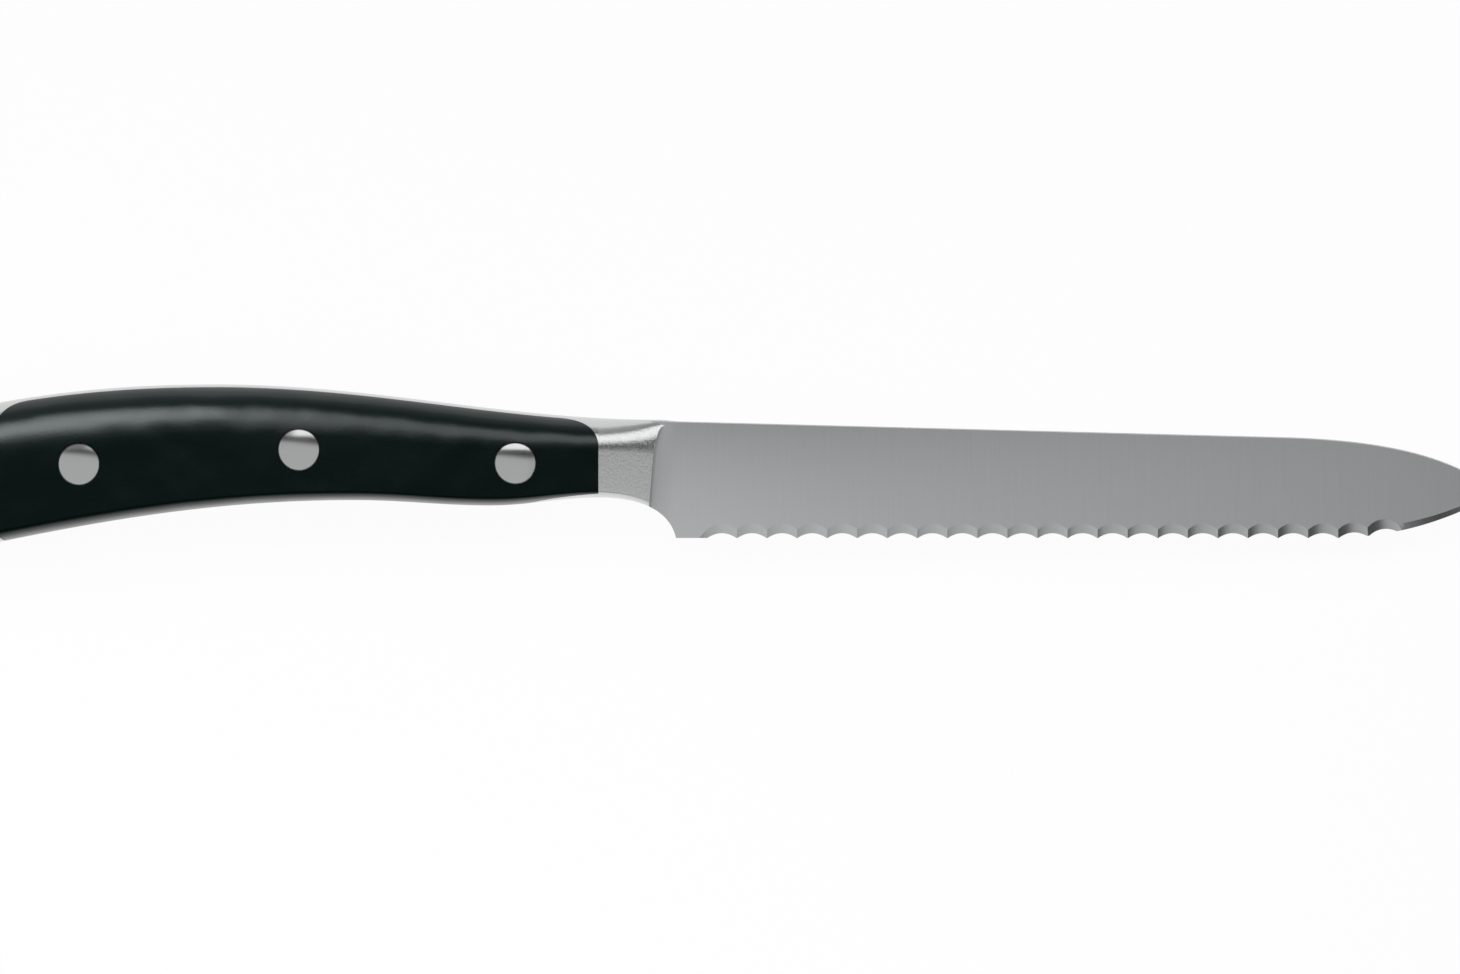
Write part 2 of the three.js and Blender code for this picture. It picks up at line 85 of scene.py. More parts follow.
# Handle outline
HANDLE_LENGTH = 121
FRONT_BOLSTER = 11
REAR_BOLSTER = 8.6
SHOULDER_TOP = 19.85
CREST = (-75, 25.8)
BUTT_TOP, BUTT_TOP_SLOPE = 20.9, 0.22
NECK_HEIGHT = 6.8
NOTCH_RUN, NOTCH_RISE, NOTCH_LEAN = 9.4, 3.1, 0.65
SWELL = (-29.2, 5.45)
PALM = (-52, 6.35)
BUTT_BOTTOM, BUTT_BOTTOM_SLOPE = -2.6, 0.21

# Handle thickness and section
BUTT_WIDTH, BUTT_WIDTH_SLOPE = 13.4, 0.04
FULL_WIDTH, FULL_WIDTH_AT = 14.6, 86
TAPER_END = 70
BOLSTER_WIDTH = 12.4
SHOULDER_WIDTH = 3.4
BACK_FLAT, BACK_POWER, BACK_SIDE_POWER = 0.15, 2.3, 2.2
UNDER_FLAT, UNDER_POWER, UNDER_SIDE_POWER = 0.82, 2.3, 2.4
BUTT_ROUND, BUTT_LEAN, BUTT_BULGE = 2.6, 1.2, 0.8

# Cove between the bolster and the blade
COVE_FOOT = -1.25
COVE_RADIUS = 0.9
COVE_LEAN = 4.8
COVE_BEND, COVE_SWING, COVE_TURN = 12.5, 27, 25
COVE_REACH = 6
COVE_SINK = 0.005
COARSE_GRIND = 3.1
BOLSTER_END = 2.1
BACK_TURN = 0.1

# Tang, scales and rivets
TANG_THICKNESS = 3.4
SCALE_GAP = 0.04
FRONT_TOP_CORNER = (6.5, 4.5)
FRONT_LOW_CORNER = (14.5, 0.65, 0.2)
REAR_TOP_CORNER = (5.7, 4.9)
REAR_LOW_CORNER = (3.0, 4.0)
CORNER_LEAD = 0.3
TANG_PROUD = 0.46
RIVET_HEAD = 7.0
RIVET_SLEEVE = 5.0
RIVET_STUD = 3.2
RIVET_FIT = 0.1
RIVET_SEAT = 1.8
RIVET_REACH = 1.0
RIVET_GAP = 0.05
RIVET_BELOW_MIDDLE = 0.9
RIVET_FROM_FRONT = 13.95
RIVET_FROM_REAR = 14.2
MIDDLE_RIVET_FORWARD = 0.3
HEAD_RIM_DROP = 0.42
HEAD_CROWN_POWER = 2.0
HEAD_BLANK = 3.0
HEAD_OVERLAP = 0.2
BORE_LEAD = 1.0

# Angles between faces, in degrees, past which an edge stays crisp
FORGING_CREASE = 11
SCALE_CREASE = 25
RIVET_CREASE = 30

# How far a curve follows its end slopes, and how far cutting tools reach past the knife
CURVE_PULL = 0.36
BLANK = 30

# Studio lengths, in metres, and the camera's sensor, in millimetres
FLOOR_HALF = 3
KNIFE_MIDDLE = 0.0073
PICTURE_WIDTH = 0.24528
PICTURE_MIDDLE = (0.00233, -0.00328)
CAMERA_HEIGHT = 6.0
SENSOR_WIDTH = 36

# How much of the floor's look is real paper, the dome's levels on a sphere of radius 1, and the curve by which
# lamps dim
PAPER_SHARE = 0.05
WALL_TOP, CEILING_EDGE = 0.2, 0.5
DIM_POWER = 0.55

BUTT_X = -HANDLE_LENGTH
SCALE_FRONT = -FRONT_BOLSTER
SCALE_REAR = REAR_BOLSTER - HANDLE_LENGTH
TANG_HALF = TANG_THICKNESS / 2
COVE_START = COVE_FOOT - COVE_RADIUS


# Curves

def bezier(*corners, steps=200):
    share = np.linspace(0, 1, steps)[:, None]
    curve = [np.array(corner, float) + 0 * share for corner in corners]
    while len(curve) > 1:
        curve = [a + (b - a) * share for a, b in zip(curve, curve[1:])]
    return curve[0]


def flow(start, end, leaving, arriving):
    pull = CURVE_PULL * (end[0] - start[0])
    first = (start[0] + pull, start[1] + leaving * pull)
    second = (end[0] - pull, end[1] - arriving * pull)
    return bezier(start, first, second, end)


def height_along(*curves):
    points = np.vstack(curves)
    points = points[np.argsort(points[:, 0], kind="stable")]
    return lambda x: np.interp(x, points[:, 0], points[:, 1])


shoulder = (0, SHOULDER_TOP)
neck = (SCALE_FRONT, NECK_HEIGHT)
heel = (HEEL_CORNER, 0)
finger_notch = bezier(neck, (neck[0] + NOTCH_RUN, neck[1]), (heel[0] - NOTCH_LEAN, NOTCH_RISE), heel)
back_height = height_along(
    np.array([(BOLSTER_END, HEEL_HEIGHT - SPINE_FALL * BOLSTER_END)]),
    flow(shoulder, CREST, 0, 0),
    flow(CREST, (BUTT_X, BUTT_TOP), 0, BUTT_TOP_SLOPE),
)
under_height = height_along(
    finger_notch,
    flow(neck, SWELL, 0, 0),
    flow(SWELL, PALM, 0, 0),
    flow(PALM, (BUTT_X, BUTT_BOTTOM), 0, BUTT_BOTTOM_SLOPE),
)
taper_run = TAPER_END - FRONT_BOLSTER
taper = (FULL_WIDTH - BOLSTER_WIDTH) / 2 / (taper_run + (FULL_WIDTH_AT - TAPER_END) / 2)
taper_front = (SCALE_FRONT, BOLSTER_WIDTH / 2)
bolster_taper = (BOLSTER_WIDTH - SHOULDER_WIDTH) / 2 / FRONT_BOLSTER
bolster_tip = (BOLSTER_END, SHOULDER_WIDTH / 2 - bolster_taper * BOLSTER_END)
taper_rear = (-TAPER_END, BOLSTER_WIDTH / 2 + taper * taper_run)
fullest = (-FULL_WIDTH_AT, FULL_WIDTH / 2)
half_width = height_along(
    flow(bolster_tip, taper_front, -bolster_taper, -bolster_taper),
    flow(taper_front, taper_rear, -taper, -taper),
    flow(taper_rear, fullest, -taper, 0),
    flow(fullest, (BUTT_X, BUTT_WIDTH / 2), 0, BUTT_WIDTH_SLOPE),
)

sweep_start = BLADE_LENGTH - math.sqrt(2 * EDGE_SWEEP_RADIUS * TIP_HEIGHT - TIP_HEIGHT**2)
point_start = (BLADE_LENGTH - POINT_LENGTH, HEEL_HEIGHT - SPINE_FALL * (BLADE_LENGTH - POINT_LENGTH))
point_height = height_along(
    bezier(
        point_start,
        (point_start[0] + POINT_RUN, point_start[1] - SPINE_FALL * POINT_RUN),
        (BLADE_LENGTH - TIP_RUN, TIP_HEIGHT + TIP_SLOPE * TIP_RUN),
        (BLADE_LENGTH, TIP_HEIGHT),
    )
)
wedge = (SPINE_THICKNESS - EDGE_THICKNESS) / 2 / HEEL_HEIGHT


def edge_angle(x):
    return math.asin(max(0, x - sweep_start) / EDGE_SWEEP_RADIUS)


def edge_height(x):
    return EDGE_SWEEP_RADIUS * (1 - math.cos(edge_angle(x)))


def spine_height(x):
    return HEEL_HEIGHT - SPINE_FALL * x if x < point_start[0] else float(point_height(x))


def blade_half(x, y):
    return EDGE_THICKNESS / 2 + wedge * (y - edge_height(x))


blade_end = BLADE_LENGTH - TIP_FLAT / (TIP_SLOPE + math.tan(edge_angle(BLADE_LENGTH)))

# Where the part's own frame has the point of the blade, the crest of the handle and the left side.
forging_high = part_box("blade_and_tang")[1]
scale_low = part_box("left_scale")[0]
to_frame = np.array([
    forging_high.x * 1000 - blade_end,
    forging_high.y * 1000 - CREST[1],
    scale_low.z * 1000 + FULL_WIDTH / 2,
])

# The foot of the cove in that frame: x less the slant times y.
cove_slant = math.tan(math.radians(COVE_LEAN))
cove_line = (COVE_FOOT + to_frame[0] - cove_slant * (SHOULDER_TOP / 2 + to_frame[1])) / 1000


# Meshes

def solid(name, corners, faces):
    mesh = bpy.data.meshes.new(name)
    mesh.from_pydata(np.asarray(corners, float).tolist(), [], faces)
    shell = bmesh.new()
    shell.from_mesh(mesh)
    bmesh.ops.remove_doubles(shell, verts=shell.verts, dist=1e-6)
    bmesh.ops.recalc_face_normals(shell, faces=shell.faces)
    shell.to_mesh(mesh)
    shell.free()
    piece = bpy.data.objects.new(name, mesh)
    bpy.context.scene.collection.objects.link(piece)
    return piece


# Skin over rings of points, closed by a fan at each end.
def loft(name, rings):
    rings = np.asarray(rings, float)
    rows, count = rings.shape[:2]
    faces = []
    for row in range(rows - 1):
        for i in range(count):
            a, b = row * count + i, row * count + (i + 1) % count
            faces.append((a, a + count, b + count, b))
    first, end = rows * count, (rows - 1) * count
    for i in range(count):
        after = (i + 1) % count
        faces.append((first, i, after))
        faces.append((first + 1, end + after, end + i))
    corners = np.vstack([rings.reshape(-1, 3), rings[0].mean(0), rings[-1].mean(0)])
    return solid(name, corners, faces)


# An outline carried through a row of places, with flat ends.
def sweep(name, rings):
    rings = np.asarray(rings, float)
    rows, count = rings.shape[:2]
    last = (rows - 1) * count
    faces = [tuple(range(count)), tuple(range(last + count - 1, last - 1, -1))]
    for row in range(rows - 1):
        for i in range(count):
            a, b = row * count + i, row * count + (i + 1) % count
            faces.append((a, b, b + count, a + count))
    return solid(name, rings.reshape(-1, 3), faces)


def slab(name, outline, low, high):
    return sweep(name, [[(*point, height) for point in outline] for height in (low, high)])


def peg(name, x, y, radius, low, high, steps=128):
    turn = np.linspace(0, 2 * math.pi, steps, endpoint=False)
    outline = np.column_stack([x + radius * np.cos(turn), y + radius * np.sin(turn)])
    return slab(name, outline, low, high)


def mirrored(piece):
    corners = [(v.co.x, v.co.y, -v.co.z) for v in piece.data.vertices]
    return solid(piece.name + "_left", corners, [tuple(face.vertices) for face in piece.data.polygons])


# Turns what a piece's modifiers make into its own plain mesh.
def set_firm(piece):
    made = piece.evaluated_get(bpy.context.evaluated_depsgraph_get())
    firm = bpy.data.meshes.new_from_object(made)
    soft = piece.data
    piece.modifiers.clear()
    piece.data = firm
    bpy.data.meshes.remove(soft)


def cut(piece, operation, *tools):
    for tool in tools:
        step = piece.modifiers.new(tool.name, "BOOLEAN")
        step.operation, step.object, step.solver = operation, tool, "MANIFOLD"
    set_firm(piece)
    for tool in tools:
        bpy.data.meshes.remove(tool.data)
    return piece


# Adds a node; a link from a node is taken from its first output.
def add(tree, kind, links=None, **settings):
    node = tree.nodes.new(kind)
    for name, value in settings.items():
        setattr(node, name, value)
    for socket, value in (links or {}).items():
        if isinstance(value, bpy.types.Node):
            value = value.outputs[0]
        if isinstance(value, bpy.types.NodeSocket):
            tree.links.new(value, node.inputs[socket])
        else:
            node.inputs[socket].default_value = value
    return node


# A tree with a named input for each size.
def sized_tree(name, sizes):
    tree = bpy.data.node_groups.new(name, "GeometryNodeTree")
    tree.interface.new_socket("Geometry", in_out="INPUT", socket_type="NodeSocketGeometry")
    tree.interface.new_socket("Geometry", in_out="OUTPUT", socket_type="NodeSocketGeometry")
    kinds = {int: "Int", float: "Float", bpy.types.Object: "Object", bpy.types.Material: "Material"}
    for size, value in sizes.items():
        tree.interface.new_socket(size, in_out="INPUT", socket_type="NodeSocket" + kinds[type(value)])
    return tree, add(tree, "NodeGroupInput").outputs


def grow(piece, tree, sizes):
    made = piece.modifiers.new(tree.name, "NODES")
    made.node_group = tree
    for item in tree.interface.items_tree:
        if item.name in sizes:
            made[item.identifier] = sizes[item.name]
    set_firm(piece)


# Materials

def linear(code):
    channels = [int(code[i : i + 2], 16) / 255 for i in (1, 3, 5)]
    return [c / 12.92 if c <= 0.04045 else ((c + 0.055) / 1.055) ** 2.4 for c in channels] + [1]


def finish(name, base, metallic, roughness, **sockets):
    material = bpy.data.materials.new(name)
    material.use_nodes = True
    tree = material.node_tree
    surface = tree.nodes["Principled BSDF"]
    surface.inputs["Base Color"].default_value = linear(base)
    surface.inputs["Metallic"].default_value = metallic
    surface.inputs["Roughness"].default_value = roughness
    for socket, value in sockets.items():
        surface.inputs[socket].default_value = value
    place = add(tree, "ShaderNodeTexCoord").outputs["Object"]
    return material, tree, surface, place


# Forged stainless steel, flat-ground across the blade with a fine belt and left satin: a soft grey with faint
# marks that run from the edge to the spine. The real marks are about 0.05 mm apart; they are drawn 0.2 mm
# apart so that they show at all. Close beside the cove the grind is coarser, which dulls the steel there.
def ground_blade_steel():
    material, tree, surface, place = finish("stainless_steel_belt_ground", "#cacccd", 1, 0.3)
    marks = add(tree, "ShaderNodeMapping", {"Vector": place, "Scale": (1 / 0.0002, 1 / 0.012, 1 / 0.012)})
    grain = add(tree, "ShaderNodeTexNoise", {"Vector": marks, "Scale": 1, "Detail": 3})
    tone = add(
        tree,
        "ShaderNodeMix",
        {0: grain, 6: linear("#c6c8c9"), 7: linear("#ced0d1")},
        data_type="RGBA",
    )
    tree.links.new(tone.outputs[2], surface.inputs["Base Color"])
    rough = add(tree, "ShaderNodeMapRange", {0: grain, 3: 0.28, 4: 0.33})
    along = add(tree, "ShaderNodeVectorMath", {0: place, 1: (1, -cove_slant, 0)}, operation="DOT_PRODUCT")
    coarse = add(
        tree,
        "ShaderNodeMapRange",
        {0: along.outputs["Value"], 1: cove_line, 2: cove_line + COARSE_GRIND / 1000, 3: 0.3, 4: 0.0},
    )
    rough = add(tree, "ShaderNodeMath", {0: rough, 1: coarse})
    tree.links.new(rough.outputs[0], surface.inputs["Roughness"])
    bump = add(tree, "ShaderNodeBump", {"Height": grain, "Strength": 0.02, "Distance": 0.00002})
    tree.links.new(bump.outputs[0], surface.inputs["Normal"])
    return material


# The same steel on the bolsters and the back of the tang, brought to a brighter satin on a soft wheel:
# sharper highlights with a fine, uneven grain, drawn 0.3 mm across because the real one is too fine to show.
def satin_bolster_steel():
    material, tree, surface, place = finish("stainless_steel_satin_polished", "#cccdcd", 1, 0.24)
    marks = add(tree, "ShaderNodeMapping", {"Vector": place, "Scale": (1 / 0.0003, 1 / 0.0004, 1 / 0.0004)})
    grain = add(tree, "ShaderNodeTexNoise", {"Vector": marks, "Scale": 1, "Detail": 3})
    rough = add(tree, "ShaderNodeMapRange", {0: grain, 1: 0.35, 2: 0.65, 3: 0.19, 4: 0.27})
    tree.links.new(rough.outputs[0], surface.inputs["Roughness"])
    bump = add(tree, "ShaderNodeBump", {"Height": grain, "Strength": 0.6, "Distance": 0.00003})
    tree.links.new(bump.outputs[0], surface.inputs["Normal"])
    return material


# Acetal (POM), moulded and tumbled: a deep, slightly green black with a soft sheen, a very fine grain and the
# shallow waves, about 9 mm apart, that a thick moulding takes as it cools. The grain is drawn 0.4 mm across
# because the real one is too fine to show.
def moulded_black_plastic():
    material, tree, surface, place = finish("acetal_moulded_black", "#00100e", 0, 0.25, IOR=1.48)
    surface.inputs["Specular Tint"].default_value = linear("#f7ffff")
    grain = add(tree, "ShaderNodeTexNoise", {"Vector": place, "Scale": 1 / 0.0004, "Detail": 4})
    rough = add(tree, "ShaderNodeMapRange", {0: grain, 3: 0.22, 4: 0.28})
    tree.links.new(rough.outputs[0], surface.inputs["Roughness"])
    tone = add(
        tree,
        "ShaderNodeMix",
        {0: grain, 6: linear("#000f0d"), 7: linear("#001311")},
        data_type="RGBA",
    )
    tree.links.new(tone.outputs[2], surface.inputs["Base Color"])
    sink = add(tree, "ShaderNodeTexNoise", {"Vector": place, "Scale": 1 / 0.009, "Detail": 1})
    waves = add(tree, "ShaderNodeBump", {"Height": sink, "Strength": 1.0, "Distance": 0.0003})
    bump = add(
        tree,
        "ShaderNodeBump",
        {"Height": grain, "Strength": 0.5, "Distance": 0.00003, "Normal": waves},
    )
    tree.links.new(bump.outputs[0], surface.inputs["Normal"])
    return material


# Stainless rivet heads, ground flush with the scales and buffed: brighter than the blade, with short marks
# that are drawn 0.3 mm apart so that they show.
def buffed_rivet_steel():
    material, tree, surface, place = finish("stainless_steel_buffed", "#c8c9c9", 1, 0.16)
    marks = add(tree, "ShaderNodeMapping", {"Vector": place, "Scale": (1 / 0.0003, 1 / 0.0012, 1 / 0.0012)})
    grain = add(tree, "ShaderNodeTexNoise", {"Vector": marks, "Scale": 1, "Detail": 2})
    rough = add(tree, "ShaderNodeMapRange", {0: grain, 3: 0.13, 4: 0.19})
    tree.links.new(rough.outputs[0], surface.inputs["Roughness"])
    return material


blade_steel = ground_blade_steel()
bolster_steel = satin_bolster_steel()
black_plastic = moulded_black_plastic()
rivet_steel = buffed_rivet_steel()


# Handle

# The section as shares of half thickness and half height, closer together where it turns. The sizes guide
# only how the points are spaced.
def section_shares(steps=44, fine_steps=4000, half_thickness=7, half_height=9):
    def quarter(rise, flat, power, side_power):
        angle = np.linspace(0, math.pi / 2, fine_steps)
        out = np.clip(np.cos(angle), 0, 1) ** (2 / side_power)
        up = flat + (1 - flat) * np.sin(angle) ** (2 / power)
        run = np.column_stack([half_thickness * out, half_height * up])
        step = np.diff(run, axis=0)
        length = np.hypot(*step.T)
        heading = np.unwrap(np.arctan2(step[:, 1], step[:, 0]))
        turn = np.append(np.abs(np.diff(heading)), 0)
        pace = np.append(0, np.cumsum(length / length.sum() + turn / turn.sum()))
        even = np.linspace(0, pace[-1], steps)
        return np.column_stack([np.interp(even, pace, out), rise * np.interp(even, pace, up)])

    under = quarter(-1, UNDER_FLAT, UNDER_POWER, UNDER_SIDE_POWER)[::-1]
    back = quarter(1, BACK_FLAT, BACK_POWER, BACK_SIDE_POWER)
    level = np.linspace(under[-1], back[0], 8)[1:-1]
    right = np.vstack([under, level, back])
    left = right[1:-1][::-1] * (-1, 1)
    return np.vstack([right, left])


handle_section = section_shares()


def handle_ring(x, inset=0, lean=0, size=1):
    middle = (back_height(x) + under_height(x)) / 2
    reach = (back_height(x) - under_height(x)) / 2 - inset
    width = half_width(x) - inset
    out, up = handle_section.T
    return np.column_stack([x + lean * size * up, middle + size * reach * up, size * width * out])


def handle_body():
    rings = []
    for size in np.linspace(0, 1, 12)[1:-1]:
        ring = handle_ring(BUTT_X, BUTT_ROUND, BUTT_LEAN, size)
        rings.append(ring - (BUTT_BULGE * (1 - size**2), 0, 0))
    for angle in np.linspace(0, math.pi / 2, 19):
        behind = BUTT_ROUND * (1 - math.cos(angle))
        inset = BUTT_ROUND * (1 - math.sin(angle))
        rings.append(handle_ring(BUTT_X + behind, inset, BUTT_LEAN * (1 - behind / REAR_BOLSTER)))
    for x in np.linspace(BUTT_X + BUTT_ROUND, SCALE_REAR, 13)[1:]:
        rings.append(handle_ring(x, 0, BUTT_LEAN * (SCALE_REAR - x) / REAR_BOLSTER))
    for x in np.linspace(SCALE_REAR, SCALE_FRONT, 121)[1:]:
        rings.append(handle_ring(x))
    for x in np.linspace(SCALE_FRONT, BOLSTER_END, 50)[1:]:
        rings.append(handle_ring(x))
    return loft("handle", rings)


# Outline of a scale seen from the side. Its upper edge leaves a line of the tang's back in sight. Below, it
# runs past the underside of the handle, whose own surface trims it there.
def scale_outline(inset):
    front, rear = SCALE_FRONT - inset, SCALE_REAR + inset
    low = BUTT_BOTTOM - BLANK

    def back(x):
        return back_height(x) - TANG_PROUD - inset

    def under(x):
        return under_height(x) + inset

    front_high, front_low = front - FRONT_TOP_CORNER[0], front - FRONT_LOW_CORNER[0]
    rear_high, rear_low = rear + REAR_TOP_CORNER[0], rear + REAR_LOW_CORNER[0]
    along = np.linspace(rear_high, front_high, 90)[1:-1]
    return np.vstack([
        np.column_stack([along, back(along)]),
        bezier(
            (front_high, back(front_high)),
            (front, back(front)),
            (front, back(front) - FRONT_TOP_CORNER[1]),
            steps=40,
        ),
        bezier(
            (front, under(front) + FRONT_LOW_CORNER[1]),
            ((front + front_low) / 2, under(front) + FRONT_LOW_CORNER[2]),
            (front_low, under(front_low) - CORNER_LEAD),
            steps=40,
        ),
        [(front_low, low), (rear_low, low)],
        bezier(
            (rear_low, under(rear_low) - CORNER_LEAD),
            (rear, under(rear)),
            (rear, under(rear) + REAR_LOW_CORNER[1]),
            steps=30,
        ),
        bezier(
            (rear, back(rear) - REAR_TOP_CORNER[1]),
            (rear, back(rear)),
            (rear_high, back(rear_high)),
            steps=40,
        ),
    ])


def scale_blank(inset):
    return slab("scale_blank", scale_outline(inset), TANG_HALF, BLANK)


# Concave run-out from the bolster to the flat of the blade. It rises straight from the heel and swings
# forward as it nears the spine.
def cove_tool():
    across = np.array([0, -wedge, 1]) / math.hypot(1, wedge)
    upright = np.array([0, 1, wedge]) / math.hypot(1, wedge)

    def ahead(angle):
        return math.cos(angle) * np.array([1, 0, 0]) - math.sin(angle) * upright

    # The ground profile: down the wall of the cove, round its foot and out along the blade.
    turn = np.linspace(math.pi, 1.5 * math.pi, 25)
    foot = COVE_RADIUS * np.column_stack([np.cos(turn), 1 + np.sin(turn)]) - (0, COVE_SINK)
    ground = np.vstack([foot, [(COVE_REACH, -COVE_SINK), (COVE_REACH, BLANK), (-COVE_RADIUS, BLANK)]])

    lean = math.radians(COVE_LEAN)
    up = math.sin(lean) * np.array([1, 0, 0]) + math.cos(lean) * upright
    middle = SHOULDER_TOP / 2
    origin = np.array([COVE_FOOT, middle, blade_half(0, middle)])
    bend = origin + up * (COVE_BEND - middle) / up[1]
    centre = bend + COVE_SWING * ahead(lean)
    rings = [[bend - BLANK * up + a * ahead(lean) + b * across for a, b in ground]]
    for angle in np.linspace(lean, math.radians(COVE_TURN), 25):
        rings.append([centre + (a - COVE_SWING) * ahead(angle) + b * across for a, b in ground])
    return sweep("cove", rings)


# Blade

def blade_ring(x):
    low, high = edge_height(x), spine_height(x)
    corner = min(SPINE_ROUND, SPINE_ROUND_SHARE * (high - low))
    turn = np.linspace(0, math.pi / 2, 7)
    side = blade_half(x, high - corner)
    right = [(low, EDGE_THICKNESS / 2)]
    right += [(high - corner + corner * math.sin(a), side - corner + corner * math.cos(a)) for a in turn]
    left = [(y, -z) for y, z in reversed(right)]
    return [(x, y, z) for y, z in right + left]


def wedge_blade():
    xs = [COVE_START, point_start[0], *np.linspace(point_start[0], blade_end, 73)[1:]]
    return loft("blade", [blade_ring(x) for x in xs])


def notch_tool():
    outline = np.vstack([finger_notch[::4], finger_notch[-1:], [(heel[0], -BLANK), (neck[0], -BLANK)]])
    return slab("finger_notch", outline, -BLANK, BLANK)


# Plain sharpening bevel of the point, broad and shallow beside the last scallop, narrower and deeper toward
# the tip. It starts a part of a pitch before the scallops end, comes in from the edge over its first twelfth
# and runs past the tip.
def bevel_tool():
    start = SCALLOP_START + SCALLOP_PITCH * (SCALLOP_COUNT - BEVEL_LEAD)
    low, high = -BEVEL_OVERCUT, 1 + BEVEL_OVERCUT
    rings = []
    for share in np.linspace(0, 1, 41):
        x = start + share * (BLADE_LENGTH + BEVEL_PAST_TIP - start)
        turn = edge_angle(x)
        width = BEVEL_START_WIDTH + share * (BEVEL_WIDTH - BEVEL_START_WIDTH)
        ground = np.interp(share, (0, BEVEL_FULL_AT), (BEVEL_START_DEPTH, 1))
        depth = (EDGE_THICKNESS - EDGE_LAND) * ground + wedge * width
        rise = -width * max(0, 1 - BEVEL_RUN_IN * share)
        ring = []
        for out, lift in ((low, high), (high, high), (low, low)):
            height = rise + width * out
            z = EDGE_THICKNESS / 2 + wedge * width - depth * (1 - lift)
            ring.append((x - math.sin(turn) * height, edge_height(x) + math.cos(turn) * height, z))
        rings.append(ring)
    return loft("bevel", rings)


# The scallops: one round grinding wheel, tilted so that it is deepest at the edge, set down again at each
# pitch along the edge.
def scallop_tree(sizes):
    tree, size = sized_tree("scallop_grind", sizes)
    half = add(tree, "ShaderNodeMath", {0: size["Pitch"], 1: 0.5}, operation="MULTIPLY")
    first = add(tree, "ShaderNodeMath", {0: size["Start"], 1: half})
    row = add(
        tree,
        "GeometryNodeMeshLine",
        {
            "Count": size["Scallops"],
            "Start Location": add(tree, "ShaderNodeCombineXYZ", {"X": first}),
            "Offset": add(tree, "ShaderNodeCombineXYZ", {"X": size["Pitch"]}),
        },
    )

    # Where the wheel is deepest: a scallop's depth in from the edge, on the left face, square to the sweep.
    along = add(tree, "ShaderNodeSeparateXYZ", {0: add(tree, "GeometryNodeInputPosition")}).outputs["X"]
    past = add(tree, "ShaderNodeMath", {0: along, 1: size["Sweep Start"]}, operation="SUBTRACT")
    past = add(tree, "ShaderNodeMath", {0: past, 1: 0.0}, operation="MAXIMUM")
    turn = add(tree, "ShaderNodeMath", {0: past, 1: size["Sweep Radius"]}, operation="DIVIDE")
    turn = add(tree, "ShaderNodeMath", {0: turn}, operation="ARCSINE")
    sine = add(tree, "ShaderNodeMath", {0: turn}, operation="SINE")
    cosine = add(tree, "ShaderNodeMath", {0: turn}, operation="COSINE")
    shift = add(tree, "ShaderNodeMath", {0: sine, 1: size["Depth"]}, operation="MULTIPLY")
    inner = add(tree, "ShaderNodeMath", {0: size["Sweep Radius"], 1: size["Depth"]}, operation="SUBTRACT")
    inner = add(tree, "ShaderNodeMath", {0: inner, 1: cosine}, operation="MULTIPLY")
    deepest = add(
        tree,
        "ShaderNodeCombineXYZ",
        {
            "X": add(tree, "ShaderNodeMath", {0: along, 1: shift}, operation="SUBTRACT"),
            "Y": add(tree, "ShaderNodeMath", {0: size["Sweep Radius"], 1: inner}, operation="SUBTRACT"),
            "Z": add(tree, "ShaderNodeMath", {0: size["Face Depth"], 1: -1.0}, operation="MULTIPLY"),
        },
    )
    row = add(tree, "GeometryNodeSetPosition", {"Geometry": row, "Position": deepest})

    # The wheel hangs above its lowest line and leans from the edge toward the spine.
    wheel = add(
        tree,
        "GeometryNodeMeshCylinder",
        {"Vertices": 384, "Radius": size["Wheel Radius"], "Depth": size["Wheel Width"]},
    )
    lift = add(tree, "ShaderNodeMath", {0: size["Wheel Radius"], 1: -1.0}, operation="MULTIPLY")
    lift = add(tree, "ShaderNodeCombineXYZ", {"Y": lift})
    wheel = add(tree, "GeometryNodeTransform", {"Geometry": wheel, "Translation": lift})
    lean = add(tree, "ShaderNodeMath", {0: size["Tilt"], 1: math.pi / 2}, operation="SUBTRACT")
    lean = add(tree, "ShaderNodeCombineXYZ", {"X": lean, "Z": turn})
    aim = add(tree, "FunctionNodeEulerToRotation", {0: lean})
    wheels = add(tree, "GeometryNodeInstanceOnPoints", {"Points": row, "Instance": wheel, "Rotation": aim})
    ground = add(
        tree,
        "GeometryNodeMeshBoolean",
        {"Mesh 1": size["Geometry"], "Mesh 2": wheels},
        operation="DIFFERENCE",
        solver="MANIFOLD",
    )
    whole = add(tree, "GeometryNodeRealizeInstances", {0: ground})
    steel = add(tree, "GeometryNodeSetMaterial", {"Geometry": whole, "Material": size["Steel"]})
    add(tree, "NodeGroupOutput", {0: steel})
    return tree


# Rivets

def rivet_middle(x):
    return float(back_height(x) + under_height(x)) / 2 - RIVET_BELOW_MIDDLE


rivet_front = SCALE_FRONT - RIVET_FROM_FRONT
rivet_rear = SCALE_REAR + RIVET_FROM_REAR
rivet_between = (rivet_front + rivet_rear) / 2 + MIDDLE_RIVET_FORWARD
rivet_places = [(x, rivet_middle(x)) for x in (rivet_front, rivet_between, rivet_rear)]
rivet_seat = TANG_HALF + RIVET_SEAT
sleeve_end = TANG_HALF + RIVET_REACH


